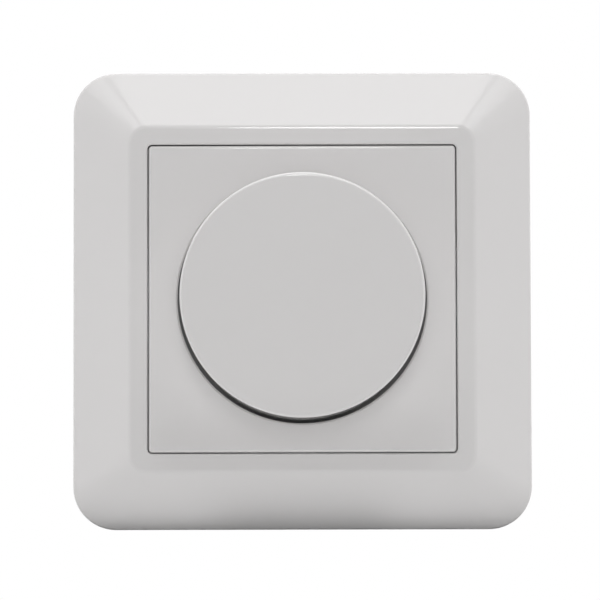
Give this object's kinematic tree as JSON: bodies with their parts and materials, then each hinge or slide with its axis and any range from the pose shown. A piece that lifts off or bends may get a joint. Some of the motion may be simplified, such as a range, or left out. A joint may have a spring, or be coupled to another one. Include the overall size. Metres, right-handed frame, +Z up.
{
  "type": "rotary dimmer switch",
  "caption": "Flush-mounted rotary dimmer: square sloped cover frame, centre plate and large round knob that turns and is pushed, on a wall-box insert.",
  "frame": {"origin": "centre of the wall plane, on the knob's axis", "axes": "+X right as seen from the front, +Y into the wall, +Z up; the front looks along -Y"},
  "size_m": [0.082, 0.0508, 0.082],
  "materials": {
    "white_plastic": "moulded, polished",
    "housing_plastic": "moulded, fine grain",
    "zinc_steel": "zinc plated",
    "spring_steel": "bright",
    "turned_brass": "turned",
    "copper_wire": "enamelled",
    "board_green": "solder resist",
    "phenolic": "pressed",
    "black_plastic": "moulded",
    "yellow_plastic": "cast",
    "ferrite": "sintered",
    "can_sleeve": "shrunk sleeve",
    "pad_grey": "silicone sheet",
    "block_plastic": "moulded"
  },
  "bodies": {
    "fixed": {"cover_frame": "white_plastic", "centre_plate": "white_plastic", "threaded_bush": "turned_brass", "axle_nut": "turned_brass", "potentiometer_case": "black_plastic", "resistive_track": "phenolic", "potentiometer_terminals": "turned_brass", "switch_case": "black_plastic", "switch_contacts": "turned_brass", "return_spring": "spring_steel", "support_plate": "zinc_steel", "front_cover": "housing_plastic", "housing": "housing_plastic", "housing_screws": "zinc_steel", "circuit_board": "board_green", "film_capacitor": "yellow_plastic", "electrolytic_capacitor": "can_sleeve", "fuse": "black_plastic", "choke_core": "ferrite", "choke_winding": "copper_wire", "controller_chip": "black_plastic", "transistor_left": "black_plastic", "transistor_right": "black_plastic", "thermal_pads": "pad_grey", "transistor_rivets": "zinc_steel", "trimmer_body": "block_plastic", "terminal_block": "block_plastic", "terminal_clamps": "turned_brass", "terminal_screws": "zinc_steel", "claw_nuts": "zinc_steel"},
    "push_rod": {"switch_plunger": "block_plastic", "switch_bridge": "turned_brass"},
    "control": {"knob": "white_plastic", "knob_spring_clip": "spring_steel", "control_shaft": "spring_steel"},
    "wiper": {"wiper_rotor": "phenolic"},
    "trimmer": {"trimmer_rotor": "yellow_plastic"},
    "left_claw": {"claw_left": "zinc_steel"},
    "right_claw": {"claw_right": "zinc_steel"},
    "left_claw_screw": {"claw_screw_left": "zinc_steel"},
    "right_claw_screw": {"claw_screw_right": "zinc_steel"}
  },
  "joints": [
    {"name": "knob_press", "type": "slide", "parent": "fixed", "child": "push_rod", "axis": [0, 1, 0], "range_m": [0, 0.0012], "stiffness_N_per_m": 1500, "deforming": ["return_spring"]},
    {"name": "knob_turn", "type": "hinge", "parent": "push_rod", "child": "control", "pos_m": [0, 0, 0], "axis": [0, 1, 0], "range_deg": [0, 270]},
    {"name": "wiper_turn", "type": "hinge", "parent": "fixed", "child": "wiper", "pos_m": [0, 0.007, 0], "axis": [0, 1, 0], "range_deg": [0, 270]},
    {"name": "trimmer_turn", "type": "hinge", "parent": "fixed", "child": "trimmer", "pos_m": [0.011, 0.023, 0.005], "axis": [0, -1, 0], "range_deg": [0, 240]},
    {"name": "claw_screw_left_turn", "type": "hinge", "parent": "fixed", "child": "left_claw_screw", "pos_m": [-0.0242, 0, -0.0065], "axis": [0, 1, 0], "range_deg": [0, 1080]},
    {"name": "claw_screw_right_turn", "type": "hinge", "parent": "fixed", "child": "right_claw_screw", "pos_m": [0.0242, 0, 0.0065], "axis": [0, 1, 0], "range_deg": [0, 1080]},
    {"name": "claw_left_spread", "type": "hinge", "parent": "fixed", "child": "left_claw", "pos_m": [-0.0264, 0.0004, -0.0065], "axis": [0, 0, 1], "range_deg": [0, 18]},
    {"name": "claw_right_spread", "type": "hinge", "parent": "fixed", "child": "right_claw", "pos_m": [0.0264, 0.0004, 0.0065], "axis": [0, 0, -1], "range_deg": [0, 18]}
  ],
  "couplings": [
    {"joint": "wiper_turn", "follows": "knob_turn", "ratio": 1},
    {"joint": "claw_left_spread", "follows": "claw_screw_left_turn", "ratio": 0.016667},
    {"joint": "claw_right_spread", "follows": "claw_screw_right_turn", "ratio": 0.016667}
  ]
}
